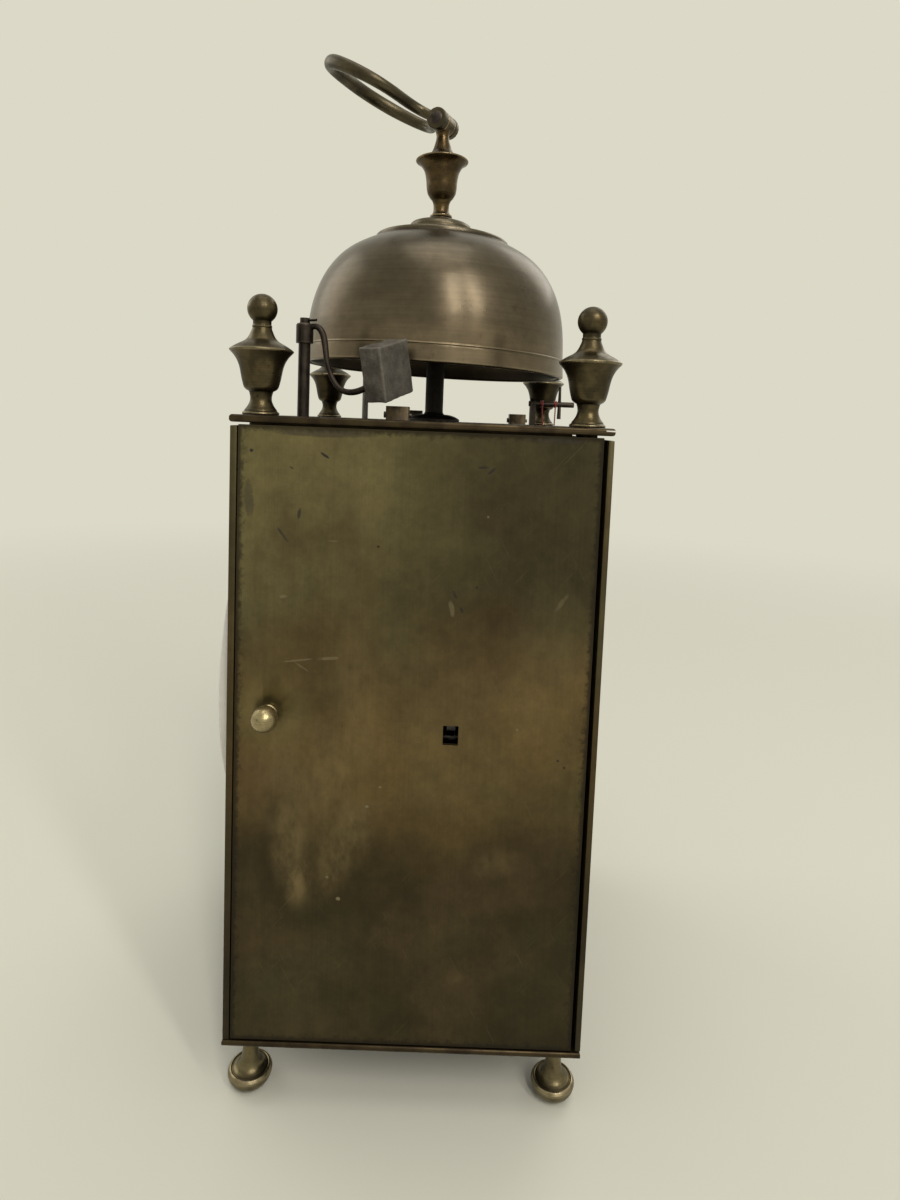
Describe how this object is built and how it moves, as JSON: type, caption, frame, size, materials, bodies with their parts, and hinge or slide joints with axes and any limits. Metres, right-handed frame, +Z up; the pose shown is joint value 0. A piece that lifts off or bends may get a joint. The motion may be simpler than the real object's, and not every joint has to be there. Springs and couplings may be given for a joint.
{
  "type": "lantern clock",
  "caption": "Spring-driven clock in a tall brass case on turned feet, with a bell and carrying loop above, hinged side doors, round dial, strike and alarm.",
  "frame": {"origin": "on the resting plane of the four feet, at the centre of the case between its feet", "axes": "+Z up, -Y out through the dial, +X to the right as the dial is read"},
  "size_m": [0.1532, 0.1287, 0.3452],
  "materials": {
    "case_brass": "aged satin",
    "turned_brass": "aged polish",
    "front_brass": "aged satin",
    "door_brass": "mottled aged satin",
    "knob_brass": "worn bright",
    "enamel": "gloss enamel",
    "blued_steel": "dark blued",
    "bright_brass": "brushed",
    "bell_metal": "brown satin",
    "dark_iron": "dark oiled",
    "handle_brass": "brown worn",
    "hammer_steel": "dark filed",
    "steel": "dull filed",
    "red_silk": "silk",
    "movement_brass": "brushed"
  },
  "bodies": {
    "case": {"bottom_plate": "case_brass", "top_plate": "case_brass", "corner_pillars": "case_brass", "corner_finials": "turned_brass", "feet": "turned_brass", "front_plate": "front_brass", "dial": "enamel", "dial_ring": "case_brass", "bell_stand": "dark_iron", "bell": "bell_metal", "bell_washer": "bell_metal", "bell_finial": "turned_brass", "handle_pin": "dark_iron", "hammer_cock": "steel", "movement_posts": "dark_iron", "post_pins": "steel", "front_movement_plate": "movement_brass", "back_movement_plate": "movement_brass", "escapement_potence": "movement_brass", "back_cock": "movement_brass", "alarm_barrel": "movement_brass", "alarm_bridge": "movement_brass", "suspension_cock": "dark_iron"},
    "back": {"back_panel": "door_brass"},
    "door_right": {"right_door": "door_brass", "right_door_knob": "knob_brass"},
    "door_left": {"left_door": "door_brass", "left_door_knob": "knob_brass"},
    "carry_handle": {"handle": "handle_brass"},
    "strike_hammer": {"hammer_arbor": "dark_iron", "hammer_arm": "dark_iron", "hammer_head": "hammer_steel"},
    "verge": {"alarm_verge": "steel"},
    "alarm_crown": {"alarm_crown_wheel": "movement_brass"},
    "alarm_great": {"alarm_great_wheel": "movement_brass"},
    "going_spring_barrel": {"going_barrel": "movement_brass"},
    "going_winder": {"going_winding_arbor": "steel"},
    "going_pawl": {"going_click": "steel"},
    "second": {"second_wheel": "movement_brass"},
    "centre": {"centre_wheel": "movement_brass"},
    "third": {"third_wheel": "movement_brass"},
    "escape": {"escape_wheel": "movement_brass"},
    "escape_anchor": {"anchor": "steel"},
    "strike_spring_barrel": {"strike_barrel": "movement_brass"},
    "strike_winder": {"strike_winding_arbor": "steel"},
    "strike_pawl": {"strike_click": "steel"},
    "pins": {"pin_wheel": "movement_brass"},
    "warning": {"warning_wheel": "movement_brass"},
    "fly_vanes": {"fly": "steel"},
    "count": {"count_wheel": "movement_brass"},
    "detent": {"strike_detent": "steel"},
    "minute": {"cannon_pinion": "movement_brass", "minute_hand": "blued_steel"},
    "minute_idler": {"minute_wheel": "movement_brass"},
    "hour": {"hour_wheel": "movement_brass", "hour_hand": "blued_steel"},
    "alarm_setting": {"alarm_disc": "bright_brass"},
    "regulator": {"suspension_arbor": "dark_iron"},
    "pendulum_swing": {"silk_thread": "red_silk", "pendulum": "steel"}
  },
  "joints": [
    {"name": "right_door_hinge", "type": "hinge", "parent": "case", "child": "door_right", "pos_m": [0.0653, 0.0492, 0.12], "axis": [0, 0, 1], "range_deg": [0, 110]},
    {"name": "left_door_hinge", "type": "hinge", "parent": "case", "child": "door_left", "pos_m": [-0.0653, 0.0492, 0.12], "axis": [0, 0, -1], "range_deg": [0, 110]},
    {"name": "back_panel_off", "type": "slide", "parent": "case", "child": "back", "axis": [0, 1, 0], "range_m": [0, 0.06]},
    {"name": "handle_swing", "type": "hinge", "parent": "case", "child": "carry_handle", "pos_m": [0, 0.00058, 0.32075], "axis": [-0.9171, 0.3987, 0.0056], "range_deg": [0, 121]},
    {"name": "hammer_stroke", "type": "hinge", "parent": "case", "child": "strike_hammer", "pos_m": [0.05, -0.0377, 0.18], "axis": [0, 0, 1], "range_deg": [-16, 7]},
    {"name": "verge_rock", "type": "hinge", "parent": "case", "child": "verge", "pos_m": [0, -0.0249, 0.2], "axis": [0, 0, 1], "range_deg": [-16, 8]},
    {"name": "alarm_crown_spin", "type": "hinge", "parent": "case", "child": "alarm_crown", "pos_m": [0, -0.01, 0.1788], "axis": [0, 1, 0], "continuous": true},
    {"name": "alarm_great_spin", "type": "hinge", "parent": "case", "child": "alarm_great", "pos_m": [0, -0.01, 0.16014], "axis": [0, 1, 0], "continuous": true},
    {"name": "third_spin", "type": "hinge", "parent": "case", "child": "third", "pos_m": [-0.012, 0.01, 0.13869], "axis": [0, 1, 0], "continuous": true},
    {"name": "escape_spin", "type": "hinge", "parent": "case", "child": "escape", "pos_m": [0, 0.015, 0.14993], "axis": [0, 1, 0], "continuous": true},
    {"name": "centre_spin", "type": "hinge", "parent": "case", "child": "centre", "pos_m": [0, 0.01, 0.1258], "axis": [0, 1, 0], "continuous": true},
    {"name": "second_spin", "type": "hinge", "parent": "case", "child": "second", "pos_m": [-0.00972, 0.01, 0.10922], "axis": [0, 1, 0], "continuous": true},
    {"name": "going_barrel_spin", "type": "hinge", "parent": "case", "child": "going_spring_barrel", "pos_m": [-0.0235, 0.01, 0.0857], "axis": [0, 1, 0], "continuous": true},
    {"name": "minute_spin", "type": "hinge", "parent": "case", "child": "minute", "pos_m": [0, -0.04, 0.1258], "axis": [0, 1, 0], "continuous": true},
    {"name": "minute_idler_spin", "type": "hinge", "parent": "case", "child": "minute_idler", "pos_m": [-0.01304, -0.02, 0.13333], "axis": [0, 1, 0], "continuous": true},
    {"name": "hour_spin", "type": "hinge", "parent": "case", "child": "hour", "pos_m": [0, -0.04, 0.1258], "axis": [0, 1, 0], "continuous": true},
    {"name": "alarm_set_spin", "type": "hinge", "parent": "hour", "child": "alarm_setting", "pos_m": [0, -0.066, 0.1258], "axis": [0, 1, 0], "continuous": true},
    {"name": "going_winding", "type": "hinge", "parent": "case", "child": "going_winder", "pos_m": [-0.0235, -0.03, 0.0857], "axis": [0, 1, 0], "continuous": true},
    {"name": "strike_winding", "type": "hinge", "parent": "case", "child": "strike_winder", "pos_m": [0.0235, -0.03, 0.0857], "axis": [0, 1, 0], "continuous": true},
    {"name": "going_click_lift", "type": "hinge", "parent": "case", "child": "going_pawl", "pos_m": [-0.033, -0.007, 0.0947], "axis": [0, 1, 0], "range_deg": [-4, 6.5]},
    {"name": "strike_click_lift", "type": "hinge", "parent": "case", "child": "strike_pawl", "pos_m": [0.014, -0.007, 0.0947], "axis": [0, 1, 0], "range_deg": [-4, 6.5]},
    {"name": "pin_wheel_spin", "type": "hinge", "parent": "case", "child": "pins", "pos_m": [0.03, 0.01, 0.11217], "axis": [0, 1, 0], "continuous": true},
    {"name": "strike_barrel_spin", "type": "hinge", "parent": "case", "child": "strike_spring_barrel", "pos_m": [0.0235, 0.01, 0.0857], "axis": [0, 1, 0], "continuous": true},
    {"name": "warning_spin", "type": "hinge", "parent": "case", "child": "warning", "pos_m": [0.02562, 0.01, 0.13277], "axis": [0, 1, 0], "continuous": true},
    {"name": "fly_spin", "type": "hinge", "parent": "case", "child": "fly_vanes", "pos_m": [0.03216, 0.015, 0.14678], "axis": [0, 1, 0], "continuous": true},
    {"name": "count_spin", "type": "hinge", "parent": "case", "child": "count", "pos_m": [0.0235, -0.018, 0.0857], "axis": [0, 1, 0], "continuous": true},
    {"name": "detent_lift", "type": "hinge", "parent": "case", "child": "detent", "pos_m": [0.0506, 0, 0.1128], "axis": [0, 1, 0], "range_deg": [-6, 0]},
    {"name": "regulator_turn", "type": "hinge", "parent": "case", "child": "regulator", "pos_m": [0, 0.045, 0.2208], "axis": [0, 1, 0], "continuous": true},
    {"name": "pendulum_swing", "type": "hinge", "parent": "case", "child": "pendulum_swing", "pos_m": [0, 0.045, 0.2208], "axis": [0, 1, 0], "range_deg": [-2, 2]},
    {"name": "anchor_rock", "type": "hinge", "parent": "case", "child": "escape_anchor", "pos_m": [0, 0.025, 0.16548], "axis": [0, 1, 0], "range_deg": [-4.8, 4.8]}
  ],
  "couplings": [
    {"joint": "alarm_great_spin", "follows": "alarm_crown_spin", "ratio": -0.14815},
    {"joint": "escape_spin", "follows": "third_spin", "ratio": -12},
    {"joint": "centre_spin", "follows": "third_spin", "ratio": -0.083333},
    {"joint": "second_spin", "follows": "third_spin", "ratio": 0.011905},
    {"joint": "going_barrel_spin", "follows": "third_spin", "ratio": -0.0015873},
    {"joint": "minute_spin", "follows": "third_spin", "ratio": -0.083333},
    {"joint": "minute_idler_spin", "follows": "third_spin", "ratio": 0.027778},
    {"joint": "hour_spin", "follows": "third_spin", "ratio": -0.0069444},
    {"joint": "strike_barrel_spin", "follows": "pin_wheel_spin", "ratio": -0.13333},
    {"joint": "warning_spin", "follows": "pin_wheel_spin", "ratio": -6},
    {"joint": "fly_spin", "follows": "pin_wheel_spin", "ratio": 36},
    {"joint": "count_spin", "follows": "pin_wheel_spin", "ratio": -0.10256},
    {"joint": "anchor_rock", "follows": "pendulum_swing", "ratio": 2.2109}
  ]
}
